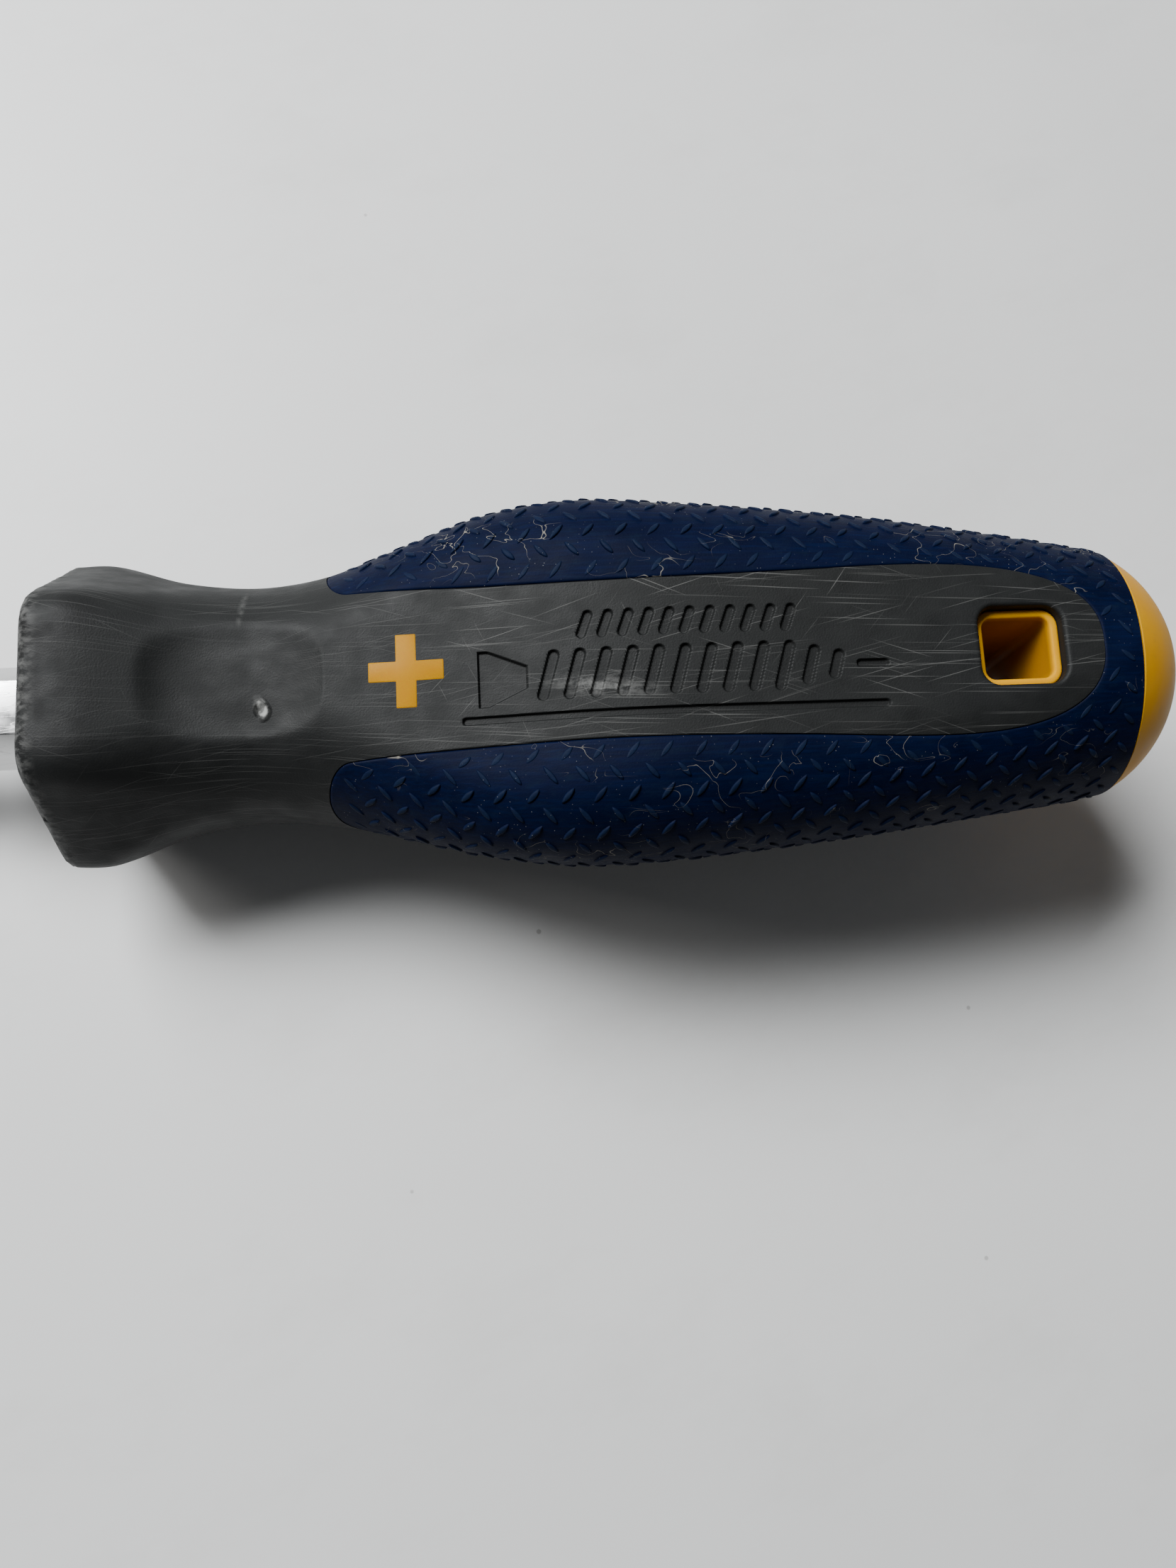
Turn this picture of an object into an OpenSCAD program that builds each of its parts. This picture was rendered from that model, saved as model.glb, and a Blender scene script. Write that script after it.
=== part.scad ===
// Cross-point screwdriver with a hexagonal bolster and a three-shot moulded handle.
// The tool lies along X: the tip points to -X and the rounded end cap to +X.
// One of the handle's three flat panels faces +Z.
// The origin is on the axis, where the round shank leaves the front of the bolster.
// Distances called "station" run along the handle from the front face of its collar.

/* [Blade] */
// Diameter of the round shank
shank_d = 6.35; // [5:0.05:8]
// Length of the blade in front of the bolster, tip included
shank_len = 89.6; // [50:0.1:200]
// Diameter of the round tang, which leaves a shoulder behind the shank
tang_d = 5.4; // [4.5:0.1:6]
// Length of the tang inside the handle and bolster
tang_len = 72; // [60:1:90]
// Diameter of the blunt end of the tip
tip_d = 2.3; // [1.5:0.1:3]
// Slope of the tip's cone from the axis
tip_cone_angle = 26.5; // [20:0.5:35]
// Distance from the axis to the root of each flute at the very tip
flute_root = 0.55; // [0.4:0.05:0.8]
// Slope of the flute roots from the axis
flute_angle = 12.5; // [10:0.5:16]
// Span of the tang across its two pressed ears
ear_span = 10; // [8:0.5:12]

/* [Bolster] */
// Size across the flats of the hexagonal bolster
bolster_flats = 9.525; // [8:0.005:12]
// Length of the hexagon, which stands in front of the handle
bolster_len = 12; // [8:0.5:20]
// Size of the bevel around the hexagon's front
bolster_bevel = 0.6; // [0.2:0.1:1.2]
// Diameter of the round spigot behind the hexagon
spigot_d = 9; // [7.5:0.1:9.5]
// Length of the spigot, which is buried in the handle
spigot_len = 7; // [4:0.5:8]

/* [Handle] */
// Length of the handle from the collar's front face to the cap joint
handle_len = 107.5; // [100:0.5:115]
// Height of the domed end cap beyond the cap joint
cap_dome = 8; // [5:0.5:12]
// Radius of the cap at its joint
cap_r = 12.95; // [11.5:0.05:13.5]
// Radius of the rounded edge around the collar's front face
collar_edge = 1.4; // [0.5:0.1:2.5]
// Radius of the inner core under the shell
core_r = 8.6; // [7.5:0.1:9]
// Station where the core starts
core_start = 9; // [7:0.5:12]

/* [Grip] */
// Thickness of the soft grip
grip_t = 2.2; // [1.5:0.1:2.6]
// Station of the tips of the grip's tongues
grip_start = 27.8; // [25:0.1:32]
// Station of the rounded ends of the flat panels
panel_end = 103.6; // [100:0.1:105]
// Half-width of a panel at its waist
panel_waist = 7.7; // [7:0.1:8.5]

/* [Details] */
// Station of the centre of the lanyard hole
hole_station = 95.5; // [92:0.5:97]
// Size of the opening in the shell along the handle
hole_len = 8.4; // [7:0.1:9]
// Size of the opening in the shell across the handle
hole_wid = 7.8; // [7:0.1:8.5]
// Thickness of the amber liner inside the opening
liner_t = 0.85; // [0.6:0.05:1.1]
// Depth of the liner's rim below the surface
liner_recess = 1.4; // [0.8:0.1:2]
// Station of the centre of the plus-shaped inlay
plus_station = 36.1; // [34:0.1:40]
// Overall size of the plus-shaped inlay
plus_size = 7.3; // [5:0.1:8]
// Width of an arm of the inlay
plus_arm = 2.05; // [1.5:0.05:2.5]
// Station of the centre of each thumb dish
dish_station = 19.5; // [17:0.5:22]
// Length of each thumb dish
dish_len = 18; // [14:0.5:20]
// Width of each thumb dish
dish_wid = 11; // [8:0.5:12]
// Depth of each thumb dish
dish_depth = 0.9; // [0.5:0.1:1.2]

/* [Hidden] */

// Moulding gap between neighbouring pieces
gap = 0.02;
// Overshoot of a cutting shape past the face it cuts
over = 1;
// Distance from the axis that is outside the handle everywhere
outside = 30;
// Points around one cross-section
section_points = 36;
// Spacing of the cross-sections along the handle
section_step = 4;
// Facets of exact round features
$fn = 48;

// Stations along the handle, each with the radius to a flat panel, the radius to a lobe, and the
// distance from the axis to the centre of a rounded hexagon corner, which is 0 behind the neck.
HANDLE = [
    [0, 14.3, 14.3, 11.3],
    [5, 14.2, 14.3, 11.3],
    [13, 12.2, 12.9, 3],
    [21, 11.7, 12.4, 0],
    [28, 12.0, 13.4, 0],
    [36, 12.35, 16.2, 0],
    [43.5, 13.05, 18.8, 0],
    [52, 14.1, 20.1, 0],
    [61, 14.5, 19.7, 0],
    [81, 13.8, 17.6, 0],
    [100, 13.3, 14.5, 0],
    [107.5, 12.8, 13.0, 0]
];
handle_scale = handle_len / HANDLE[len(HANDLE) - 1][0];

tip_cone_len = (shank_d - tip_d) / 2 / tan(tip_cone_angle);
cap_ball_r = (cap_r ^ 2 + cap_dome ^ 2) / (2 * cap_dome);
cap_half_angle = asin(cap_r / cap_ball_r);
ear_from = 52;
ear_len = 9;
ear_t = 2.2;
tang_point = 2;

// ---------- outline of the handle ----------

function station_at(i) = HANDLE[i][0] * handle_scale;

function last_row_before(s, i = 0) =
    i >= len(HANDLE) - 2 || station_at(i + 1) > s ? i : last_row_before(s, i + 1);

// Slope of one column of HANDLE at row i, taken from the rows on both sides
function row_slope(i, column) =
    let (
        low = max(i - 1, 0),
        high = min(i + 1, len(HANDLE) - 1)
    )
    (HANDLE[high][column] - HANDLE[low][column]) / (station_at(high) - station_at(low));

// Smooth value of one column of HANDLE at station s
function handle_value(s, column) =
    let (
        i = last_row_before(s),
        width = station_at(i + 1) - station_at(i),
        t = (s - station_at(i)) / width,
        rise = HANDLE[i + 1][column] - HANDLE[i][column],
        from_start = row_slope(i, column) * width - rise,
        from_end = rise - row_slope(i + 1, column) * width
    )
    HANDLE[i][column] + t * rise + t * (1 - t) * ((1 - t) * from_start + t * from_end);

function flat_r(s) = handle_value(s, 1);
function lobe_r(s) = handle_value(s, 2);
function corner_r(s) = max(handle_value(s, 3), 0);

// How far the rounded front edge of the collar lies inside its full size
function edge_inset(s) =
    s >= collar_edge ? 0 : collar_edge - sqrt(collar_edge ^ 2 - (collar_edge - max(s, 0)) ^ 2);

// Nearest of the count directions that start at angle first
function nearest(a, first, count) = first + round((a - first) / (360 / count)) * 360 / count;

// Cross-section at station s: a circle swept round a triangle and a hexagon.
// Angles are measured from the panel that faces +Z.
function section(s, inset = 0) =
    let (
        triangle = 2 * (lobe_r(s) - flat_r(s)),
        hexagon = corner_r(s),
        round_r = flat_r(s) - triangle / 2 - hexagon * cos(30) - inset - edge_inset(s)
    )
    [
        for (i = [0:section_points - 1])
            let (
                a = (i + 0.5) * 360 / section_points,
                lobe = nearest(a, 60, 3),
                corner = nearest(a, 30, 6)
            )
            [
                triangle * sin(lobe) + hexagon * sin(corner) + round_r * sin(a),
                triangle * cos(lobe) + hexagon * cos(corner) + round_r * cos(a)
            ]
    ];

module at_station(s) {
    translate([bolster_len + s, 0, 0]) children();
}

// Everything with the handle's outer shape between two stations, shrunk by inset
module skin(from, to, inset = 0) {
    bands = ceil((to - from) / section_step);
    edge_stations = from < collar_edge ? [0, collar_edge * 0.15, collar_edge * 0.45] : [];
    first = from < collar_edge ? collar_edge : from;
    stations = concat(edge_stations, [for (i = [0:bands]) first + (to - first) * i / bands]);
    for (i = [0:len(stations) - 2])
        hull() section_pair(stations[i], stations[i + 1], inset);
}

// The points of two cross-sections, for a hull to fill
module section_pair(from, to, inset) {
    ends = [for (s = [from, to], p = section(s, inset)) [bolster_len + s, p[0], p[1]]];
    ring = [for (i = [0:section_points - 1]) i];
    polyhedron(ends, [ring, [for (i = ring) section_points + i]]);
}

// ---------- panels, grip space and openings ----------

// Half-width of a flat panel: a waisted strip whose rear end closes in a blunt ellipse
function panel_half_width(s) =
    let (
        waist_station = 55,
        widening = 30,
        closing_from = 78,
        bluntness = 2.5,
        closing = max(s - closing_from, 0) / (panel_end - closing_from),
        open_width = panel_waist + ((s - waist_station) / widening) ^ 2
    )
    open_width * (1 - closing ^ bluntness) ^ (1 / bluntness);

// One side of a panel's outline, from the flare between two tongues to the rounded end
function panel_side() =
    let (
        flare_len = 2.7,
        flare_wid = 3.5,
        side_from = grip_start + flare_len,
        side_to = 90,
        side_wid = panel_half_width(side_from)
    )
    concat(
        [[grip_start - over, side_wid + flare_wid]],
        [
            for (a = [0:15:75])
                [side_from - flare_len * cos(a), side_wid + flare_wid * (1 - sin(a))]
        ],
        [
            for (i = [0:12])
                let (s = side_from + (side_to - side_from) * i / 12)
                [s, panel_half_width(s)]
        ],
        [
            for (a = [15:15:90])
                let (s = side_to + (panel_end - side_to) * sin(a))
                [s, panel_half_width(s)]
        ]
    );

// The block over one panel that the grip leaves free
module panel_block(shrink) {
    bottom = 6;
    height = 20;
    side = panel_side();
    outline = concat(side, [for (i = [len(side) - 2:-1:0]) [side[i][0], -side[i][1]]]);
    translate([bolster_len, 0, bottom])
        linear_extrude(height)
            offset(delta = -shrink)
                polygon(outline);
}

module on_each_panel() {
    for (turn = [0, 120, 240])
        rotate([turn, 0, 0]) children();
}

// The space that the grip fills; grow makes it larger on every inner side
module grip_space(outer_inset, grow) {
    difference() {
        skin(grip_start - grow, handle_len + (grow > 0 ? over : 0), outer_inset);
        skin(grip_start - over, handle_len + over, grip_t + grow);
        on_each_panel() panel_block(grow);
    }
}

// A rectangle with rounded corners, centred
module rounded_rectangle(length, width, corner) {
    hull()
        for (x = [-1, 1], y = [-1, 1])
            translate([x * (length / 2 - corner), y * (width / 2 - corner)])
                circle(corner, $fn = 12);
}

// An upright prism through the lanyard hole, its outline shrunk by inset
module hole_prism(inset, bottom, top) {
    corner = 1.8;
    at_station(hole_station)
        translate([0, 0, bottom])
            linear_extrude(top - bottom)
                rounded_rectangle(hole_len - 2 * inset, hole_wid - 2 * inset, corner - inset);
}

module plus_prism(grow, top) {
    at_station(plus_station) {
        for (size = [[plus_size, plus_arm], [plus_arm, plus_size]])
            translate([-size[0] / 2 - grow, -size[1] / 2 - grow, 0])
                cube([size[0] + 2 * grow, size[1] + 2 * grow, top]);
    }
}

// The space that the core fills inside the shell
module core_space(grow) {
    at_station(core_start - grow)
        rotate([0, 90, 0])
            cylinder(r = core_r + grow, h = handle_len);
    hole_prism(-grow, -outside, outside);
    plus_prism(grow, outside);
}

// ---------- sub-parts ----------

module along_x() {
    rotate([0, 90, 0]) children();
}

// The part of the blade inside the handle, larger by grow on every side
module tang(grow) {
    tang_r = tang_d / 2 + grow;
    along_x() cylinder(r = tang_r, h = tang_len - tang_point);
    translate([tang_len - tang_point, 0, 0])
        along_x()
            cylinder(r1 = tang_r, r2 = tang_r - tang_point / 2, h = tang_point + grow);
    translate([ear_from - grow, -ear_span / 2 - grow, -ear_t / 2 - grow])
        cube([ear_len + 2 * grow, ear_span + 2 * grow, ear_t + 2 * grow]);
}

// A square bar whose lower edge is the root of one flute, rising away from the tip
module flute() {
    bar = 12;
    translate([-shank_len, 0, flute_root])
        rotate([0, -flute_angle, 0])
            rotate([45, 0, 0])
                translate([-over, 0, 0])
                    cube([shank_len / 3, bar, bar]);
}

module blade() {
    tip_r = tip_d / 2;
    blunt = 0.4;
    color("silver") {
        difference() {
            rotate([0, -90, 0])
                rotate_extrude()
                    polygon([
                        [0, 0],
                        [shank_d / 2, 0],
                        [shank_d / 2, shank_len - tip_cone_len - blunt],
                        [tip_r, shank_len - blunt],
                        [tip_r - blunt, shank_len],
                        [0, shank_len]
                    ]);
            for (turn = [45:90:315])
                rotate([turn, 0, 0]) flute();
        }
        tang(0);
    }
}

// A slab as thick as the hexagon is across its flats, with a bevelled front
module bevelled_slab() {
    half = bolster_flats / 2;
    side = [[0, half - bolster_bevel], [bolster_bevel, half], [bolster_len, half]];
    outline = concat(side, [for (i = [len(side) - 1:-1:0]) [side[i][0], -side[i][1]]]);
    rotate([90, 0, 0])
        linear_extrude(2 * bolster_flats, center = true)
            polygon(outline);
}

// The hexagon's flats line up with the handle's panels
module hex_bolster() {
    color("gainsboro")
        difference() {
            union() {
                intersection_for(turn = [0, 60, 120])
                    rotate([turn, 0, 0]) bevelled_slab();
                translate([bolster_len - over, 0, 0])
                    along_x() cylinder(d = spigot_d, h = spigot_len + over);
            }
            translate([-over, 0, 0])
                along_x() cylinder(d = tang_d, h = bolster_len + spigot_len + 2 * over);
        }
}

// Half outline of the core's round body and the domed cap behind it: radius, then station
function core_outline() =
    concat(
        [[0, core_start], [core_r, core_start], [core_r, handle_len + gap], [cap_r, handle_len + gap]],
        [
            for (a = [cap_half_angle - 3:-4:1])
                [cap_ball_r * sin(a), handle_len + cap_dome - cap_ball_r * (1 - cos(a))]
        ],
        [[0, handle_len + cap_dome]]
    );

module core() {
    color("goldenrod")
        difference() {
            union() {
                at_station(0) along_x() rotate_extrude() polygon(core_outline());
                hole_prism(gap, -lobe_r(hole_station) + liner_recess, flat_r(hole_station) - liner_recess);
                plus_prism(0, flat_r(plus_station));
            }
            hole_prism(liner_t, -outside, outside);
            tang(gap);
        }
}

module thumb_dish() {
    sink = 2.2;
    reach = sqrt(1 - (1 - dish_depth / sink) ^ 2);
    at_station(dish_station)
        translate([0, 0, flat_r(dish_station) + sink - dish_depth])
            scale([dish_len / 2 / reach, dish_wid / 2 / reach, sink])
                sphere(1, $fn = 32);
}

module shell() {
    color("dimgray")
        difference() {
            skin(0, handle_len);
            grip_space(-over, gap);
            core_space(gap);
            on_each_panel() thumb_dish();
            translate([bolster_len - over, 0, 0])
                along_x() cylinder(d = spigot_d + 2 * gap, h = spigot_len + over + gap);
            along_x() cylinder(d = tang_d + 2 * gap, h = tang_len);
        }
}

module grip() {
    color("midnightblue")
        difference() {
            grip_space(0, 0);
            hole_prism(0, -outside, 0);
        }
}

blade();
hex_bolster();
core();
shell();
grip();
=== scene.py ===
"""Screwdriver with a three-lobed soft grip, lying on a pale desk.

The frame is the one of the CAD part, in metres: the tool lies along X with its tip towards -X, and
one flat grey panel faces +Z. Shapes are worked out in millimetres and scaled when a mesh is made.
A "station" is a distance along the handle from the front face of its collar, and "across" is a
distance along the surface from the middle of the nearest panel. The handle repeats three times
around its axis: a "sector" is one panel with half a lobe on each side, and sector 0 faces +Z.
"""

import math
from random import Random

import bmesh
import bpy
import numpy as np
from mathutils import Matrix, Vector, noise


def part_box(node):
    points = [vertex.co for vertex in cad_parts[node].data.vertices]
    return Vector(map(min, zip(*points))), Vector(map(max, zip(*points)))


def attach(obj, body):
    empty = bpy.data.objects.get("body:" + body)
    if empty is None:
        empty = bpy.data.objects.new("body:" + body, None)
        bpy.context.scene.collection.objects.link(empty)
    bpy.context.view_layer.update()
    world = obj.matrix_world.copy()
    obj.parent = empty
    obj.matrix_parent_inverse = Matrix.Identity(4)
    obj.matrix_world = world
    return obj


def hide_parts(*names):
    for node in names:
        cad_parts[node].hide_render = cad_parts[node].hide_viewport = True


MM = 0.001
SECTORS = 3

# ---------- sizes, in millimetres ----------

# Station, radius to a flat panel, radius to a lobe, distance from the axis to a hexagon corner's centre
PROFILE = np.array([
    [0, 14.3, 14.3, 11.3],
    [5, 14.2, 14.3, 11.3],
    [13, 12.2, 12.9, 3],
    [21, 11.7, 12.4, 0],
    [28, 12.0, 13.4, 0],
    [36, 12.35, 16.2, 0],
    [43.5, 13.05, 18.8, 0],
    [52, 14.1, 20.1, 0],
    [61, 14.5, 19.7, 0],
    [81, 13.8, 17.6, 0],
    [100, 13.3, 14.5, 0],
    [107.5, 12.8, 13.0, 0],
])
HANDLE_LEN = 107.5
COLLAR_EDGE = 1.4
CAP_R = 12.95
CAP_DOME = 8.0
CORE_R = 8.6
CORE_START = 9.0

GRIP_T = 2.2
GRIP_START = 27.8
FLARE_LEN = 2.7
FLARE_WID = 3.5
LIP_R = 0.26
GRIP_PROUD = 0.06
TAIL_R = 0.1
GAP = 0.03

# The panels: their narrowest place, how they widen from it, and how their rear ends close
PANEL_WAIST = 7.7
WAIST_AT = 55
WAIST_SPREAD = 30
CLOSING_FROM = 78
CLOSING_POWER = 2.5
BLUNT_FROM = 90
PANEL_END = 103.6

SHANK_R = 3.175
TIP_R = 1.15
TIP_CONE = math.radians(26.5)
FLUTE_ROOT = 0.55
FLUTE_ANGLE = math.radians(-12.5)
TANG_R = 2.7
TANG_LEN = 72.0
SPIGOT_R = 4.5
SPIGOT_LEN = 7.0
BOLSTER_FLATS = 9.525

HOLE_AT = 95.5
HOLE_SIZE = (8.4, 7.8)
HOLE_CORNER = 1.8
LINER_T = 0.85
LINER_RECESS = 1.4
PLUS_AT = 36.1
PLUS_SIZE = 7.3
PLUS_ARM = 2.05
DISH_AT = 19.5
DISH_SIZE = (16.8, 10.8)
DISH_DEPTH = 0.9
DISH_POWER = 3.2
DISH_RIM = 1.04
MARK_DEPTH = 0.36
MARK_EDGE = 0.18
MARK_AXIS = -1.35
NICK_AT = (22.2, -2.9)
SCUFF_AT = (54.5, -2.6)

# The tread: bars in rows, and each bar's rings of points as shares of its length, width and height
ROW_MARGIN = 1.3
ROWS_A_SIDE = 5
ROW_LEAST = 1.55
ROW_FULL = 1.75
BAR_PITCH = 3.15
BAR_HALF_LEN = 1.12
BAR_HALF_WID = 0.33
BAR_HEIGHT = 0.26
BAR_ANGLE = math.radians(50)
BAR_SIDES = 14
BAR_RINGS = [(1.0, 1.0, -0.15), (0.96, 0.96, 0.0), (0.8, 0.8, 0.75), (0.6, 0.55, 1.0)]

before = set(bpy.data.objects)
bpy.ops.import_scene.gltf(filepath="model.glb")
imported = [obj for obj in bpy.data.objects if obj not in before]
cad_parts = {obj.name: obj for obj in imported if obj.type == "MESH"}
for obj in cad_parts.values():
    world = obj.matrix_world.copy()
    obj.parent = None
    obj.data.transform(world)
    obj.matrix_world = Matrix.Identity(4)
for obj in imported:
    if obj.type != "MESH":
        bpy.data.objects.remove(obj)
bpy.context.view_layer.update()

collar_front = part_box("shell")[0].x / MM
tip_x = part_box("blade")[0].x / MM


# ---------- the handle's surface ----------

def profile(station):
    """Flat radius, lobe radius and hexagon corner distance at each station."""
    rows = PROFILE[:, 0]
    station = np.clip(station, rows[0], rows[-1])
    low = np.clip(np.searchsorted(rows, station, side="right") - 1, 0, len(rows) - 2)
    before = np.maximum(np.arange(len(rows)) - 1, 0)
    after = np.minimum(np.arange(len(rows)) + 1, len(rows) - 1)
    slopes = (PROFILE[after, 1:] - PROFILE[before, 1:]) / (rows[after] - rows[before])[:, None]
    width = (rows[low + 1] - rows[low])[..., None]
    t = (station - rows[low])[..., None] / width
    rise = PROFILE[low + 1, 1:] - PROFILE[low, 1:]
    bend = (1 - t) * (slopes[low] * width - rise) + t * (rise - slopes[low + 1] * width)
    value = PROFILE[low, 1:] + t * rise + t * (1 - t) * bend
    return value[..., 0], value[..., 1], np.maximum(value[..., 2], 0)


def section_sizes(station):
    """Half length of the flat, radius of the rounding, half length of the next flat, and top radius."""
    flat, lobe, corner = profile(station)
    triangle = 2 * (lobe - flat)
    inside_edge = np.clip(COLLAR_EDGE - station, 0, COLLAR_EDGE)
    inset = COLLAR_EDGE - np.sqrt(COLLAR_EDGE ** 2 - inside_edge ** 2)
    rounding = flat - triangle / 2 - corner * math.cos(math.radians(30)) - inset
    half_flat = triangle * math.sin(math.radians(60)) + corner / 2
    return half_flat, rounding, corner / 2, flat - inset


def half_around(station):
    """Distance along the surface from the middle of a panel to the middle of a lobe."""
    half_flat, rounding, next_flat, _ = section_sizes(station)
    return half_flat + rounding * math.pi / 3 + next_flat


def surface(station, across, height=0.0, sector=0):
    """Points at these stations and distances across, raised by height."""
    half_flat, rounding, _, top = section_sizes(station)
    reach = np.abs(across)
    angle = np.clip(reach - half_flat, 0, rounding * math.pi / 3) / rounding
    beyond = np.maximum(reach - half_flat - rounding * math.pi / 3, 0)
    y = np.minimum(reach, half_flat) + rounding * np.sin(angle) + beyond * np.cos(angle)
    z = top - rounding * (1 - np.cos(angle)) - beyond * np.sin(angle)
    y = (y + height * np.sin(angle)) * np.sign(across + 1e-12)
    z = z + height * np.cos(angle)
    points = np.broadcast_arrays(collar_front + station, y, z)
    return turned(np.stack(points, -1), sector)


def sideways(station, across):
    """The straight sideways distance, seen square onto the panel, of a point on the surface."""
    half_flat, rounding, _, _ = section_sizes(station)
    reach = np.abs(across)
    angle = np.clip(reach - half_flat, 0, rounding * math.pi / 3) / rounding
    return np.sign(across) * (np.minimum(reach, half_flat) + rounding * np.sin(angle))


def panel_half_width(station):
    """Half-width of a flat panel, seen square on, from its flare between two tongues to its rear end."""
    closing = np.clip((station - CLOSING_FROM) / (PANEL_END - CLOSING_FROM), 0, 1)
    width = PANEL_WAIST + ((station - WAIST_AT) / WAIST_SPREAD) ** 2
    width = width * (1 - closing ** CLOSING_POWER) ** (1 / CLOSING_POWER)
    flare = np.clip((GRIP_START + FLARE_LEN - station) / FLARE_LEN, 0, 1)
    return width + FLARE_WID * (1 - np.sqrt(1 - flare ** 2))


def border_across(station):
    """Distance across from the middle of a panel to its border with the grip."""
    half_flat, rounding, _, _ = section_sizes(station)
    width = panel_half_width(station)
    angle = np.arcsin(np.clip((width - half_flat) / rounding, 0, math.sin(math.radians(60))))
    across = np.where(width <= half_flat, width, half_flat + rounding * angle)
    return np.minimum(across, half_around(station))


def tongue_tip():
    """The station where two borders meet in the middle of a lobe."""
    stations = np.linspace(GRIP_START, GRIP_START + FLARE_LEN, 2000)
    closed = border_across(stations) > half_around(stations) - 1e-9
    return round(float(stations[closed][-1]), 5)


tip_station = tongue_tip()


def panel_reach(station):
    """Half the distance across that is grey: the whole sector in front of the tongues' tips."""
    return np.where(station < tip_station, half_around(station), border_across(station))


def eased(start, end, count, power=1.0):
    """Numbers from start to end, closer together at the start when power is over 1."""
    return start + (end - start) * np.linspace(0, 1, count) ** power


def blunt_stations(count):
    """Stations over a panel's rounded rear end, closer together towards its tip."""
    return BLUNT_FROM + (PANEL_END - BLUNT_FROM) * np.sin(np.radians(np.linspace(0, 90, count)))


# Stations of the border: close together at the tongue's tip and at the panel's blunt end
tongue_rows = eased(tip_station, GRIP_START + FLARE_LEN, 16, 1.8)
side_rows = eased(GRIP_START + FLARE_LEN, BLUNT_FROM, 76)
border_rows = np.concatenate([tongue_rows[:-1], side_rows[:-1], blunt_stations(34)])

# Stations of the ring behind the panels: close together at both its ends
ring_rows = np.concatenate([
    PANEL_END + np.array([0, 0.06, 0.14, 0.24, 0.36, 0.5, 0.75, 1.1, 1.6, 2.2, 2.8, 3.3]),
    HANDLE_LEN - np.array([0.45, 0.3, 0.18, 0.08, 0]),
])


# ---------- building meshes ----------

def grid_faces(rows, columns):
    """The four-cornered faces of a grid of points, row by row."""
    index = np.arange(rows * columns).reshape(rows, columns)
    corners = [index[:-1, :-1], index[1:, :-1], index[1:, 1:], index[:-1, 1:]]
    return np.stack(corners, -1).reshape(-1, 4).tolist()


class Sheets:
    """Patches of points and faces that become one welded mesh, with a value at each point for wear and
    painted light.
    """

    def __init__(self):
        self.points = []
        self.faces = []
        self.wear_and_painted_light = []
        self.count = 0

    def add(self, points, faces, wear_and_painted_light=0.0):
        points = np.asarray(points, float).reshape(-1, 3)
        self.points.append(points)
        self.wear_and_painted_light.append(np.broadcast_to(wear_and_painted_light, len(points)))
        self.faces += [[corner + self.count for corner in face] for face in faces]
        self.count += len(points)

    def grid(self, points, wear_and_painted_light=0.0):
        rows, columns = points.shape[:2]
        wear_and_painted_light = np.broadcast_to(wear_and_painted_light, (rows, columns)).reshape(-1)
        self.add(points, grid_faces(rows, columns), wear_and_painted_light)

    def ring_grid(self, points, wear_and_painted_light=0.0):
        """A grid whose last column joins its first. Wear is one value, or one for each row."""
        self.grid(np.concatenate([points, points[:, :1]], axis=1), wear_and_painted_light)

    def build(self, name, weld=0.002):
        """The mesh object, in which points closer together than weld become one."""
        mesh = bpy.data.meshes.new(name)
        mesh.from_pydata((np.concatenate(self.points) * MM).tolist(), [], self.faces)
        store(mesh, "wear_and_painted_light", np.concatenate(self.wear_and_painted_light))
        weld_mesh(mesh, weld)
        shape = bpy.data.objects.new(name, mesh)
        bpy.context.scene.collection.objects.link(shape)
        return shape


def store(mesh, name, values):
    """Stores a number, or a vector, at each vertex for the materials to read."""
    is_vector = values.ndim == 2
    attribute = mesh.attributes.new(name, "FLOAT_VECTOR" if is_vector else "FLOAT", "POINT")
    field = "vector" if is_vector else "value"
    attribute.data.foreach_set(field, values.astype(np.float32).reshape(-1))


def weld_mesh(mesh, distance):
    bm = bmesh.new()
    bm.from_mesh(mesh)
    bmesh.ops.remove_doubles(bm, verts=bm.verts, dist=distance * MM)
    bmesh.ops.dissolve_degenerate(bm, edges=bm.edges, dist=distance * MM / 2)
    bmesh.ops.recalc_face_normals(bm, faces=bm.faces)
    bm.to_mesh(mesh)
    bm.free()


def smooth(shape, sharp_angle):
    """Smooth shading, with the edges sharper than this angle left sharp."""
    shape.data.shade_smooth()
    shape.data.set_sharp_from_angle(angle=math.radians(sharp_angle))


def apply_modifier(shape, modifier):
    bpy.context.view_layer.objects.active = shape
    bpy.ops.object.modifier_apply(modifier=modifier.name)


def cut(shape, tool, operation="DIFFERENCE"):
    """A boolean of shape with tool, which is then removed."""
    modifier = shape.modifiers.new("cut", "BOOLEAN")
    modifier.operation = operation
    modifier.object = tool
    modifier.solver = "EXACT"
    apply_modifier(shape, modifier)
    bpy.data.objects.remove(tool)


def bevel(shape, width, segments, sharper_than):
    modifier = shape.modifiers.new("bevel", "BEVEL")
    modifier.width = width * MM
    modifier.segments = segments
    modifier.limit_method = "ANGLE"
    modifier.angle_limit = math.radians(sharper_than)
    apply_modifier(shape, modifier)


def join(shapes, name):
    """One object from several."""
    for shape in bpy.context.selected_objects:
        shape.select_set(False)
    for shape in shapes:
        shape.select_set(True)
    bpy.context.view_layer.objects.active = shapes[0]
    bpy.ops.object.join()
    shapes[0].name = name
    shapes[0].data.name = name
    return shapes[0]


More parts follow.
